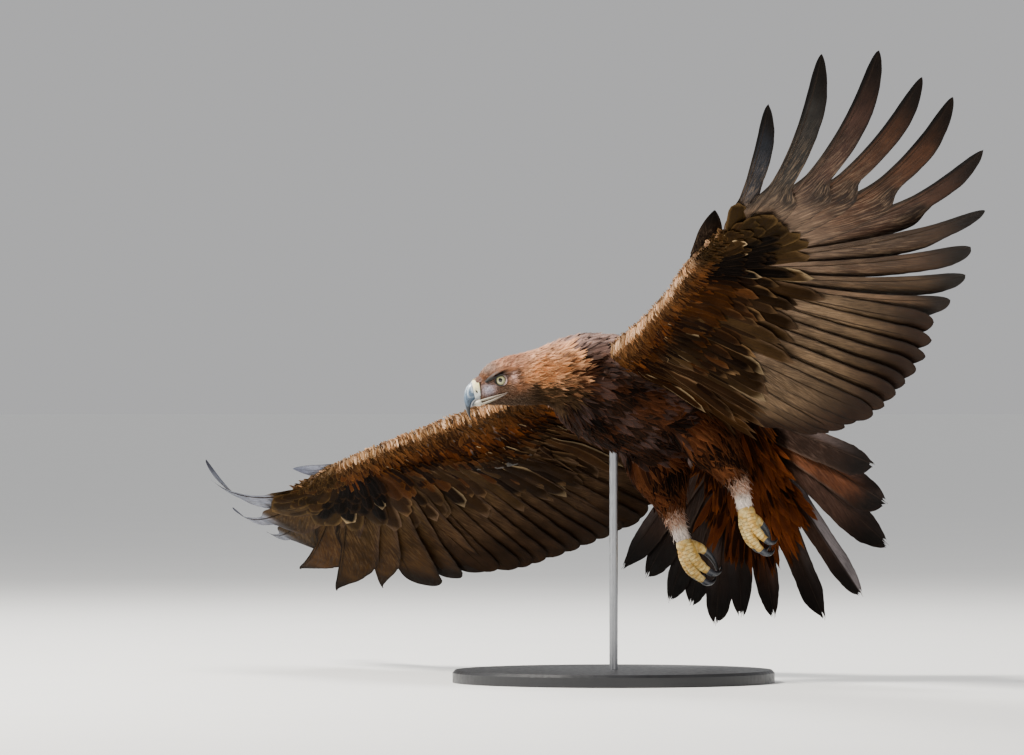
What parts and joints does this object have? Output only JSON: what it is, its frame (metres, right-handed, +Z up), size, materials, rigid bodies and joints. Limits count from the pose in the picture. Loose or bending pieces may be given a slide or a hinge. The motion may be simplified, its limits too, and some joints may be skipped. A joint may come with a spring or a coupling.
{
  "type": "golden eagle in flight",
  "caption": "Life-size golden eagle banking in flight with spread wings, fanned tail and lowered feet, on a flat round stand with a slim rod.",
  "frame": {"origin": "middle of the stand base's underside", "axes": "+Z up, +Y away from the side the pose is seen from, +X to the right of that view; the bird flies towards -X and a little towards -Y, banked"},
  "size_m": [1.1056, 1.862, 0.863],
  "materials": {
    "dark_plumage": "soft dark brown body feathers",
    "golden_plumage": "soft tawny golden hackles",
    "flight_feathers": "smooth brown vanes, paler and marbled towards the roots",
    "leg_plumage": "soft rusty leg feathers, buff above the toes",
    "cere": "waxy pale yellow skin",
    "horn": "polished blue-grey to black horn",
    "eye": "wet gloss, pale amber iris and black pupil",
    "foot_skin": "scaly yellow skin",
    "stand_paint": "dark satin painted wood",
    "stand_metal": "brushed steel"
  },
  "bodies": {
    "root": {"torso": "dark_plumage", "neck": "golden_plumage", "head": "golden_plumage", "cere": "cere", "bill_upper": "horn", "bill_lower": "horn", "tail": "flight_feathers", "wing_left_arm": "flight_feathers", "wing_left_hand": "flight_feathers", "wing_right_arm": "flight_feathers", "wing_right_hand": "flight_feathers", "eye_left": "eye", "eye_right": "eye", "leg_left_thigh": "leg_plumage", "leg_left_shank": "leg_plumage", "leg_right_thigh": "leg_plumage", "leg_right_shank": "leg_plumage", "foot_left": "foot_skin", "foot_right": "foot_skin", "claw_left_inner": "horn", "claw_left_middle": "horn", "claw_left_outer": "horn", "claw_left_hind": "horn", "claw_right_inner": "horn", "claw_right_middle": "horn", "claw_right_outer": "horn", "claw_right_hind": "horn", "stand_base": "stand_paint", "stand_rod": "stand_metal"}
  },
  "joints": []
}
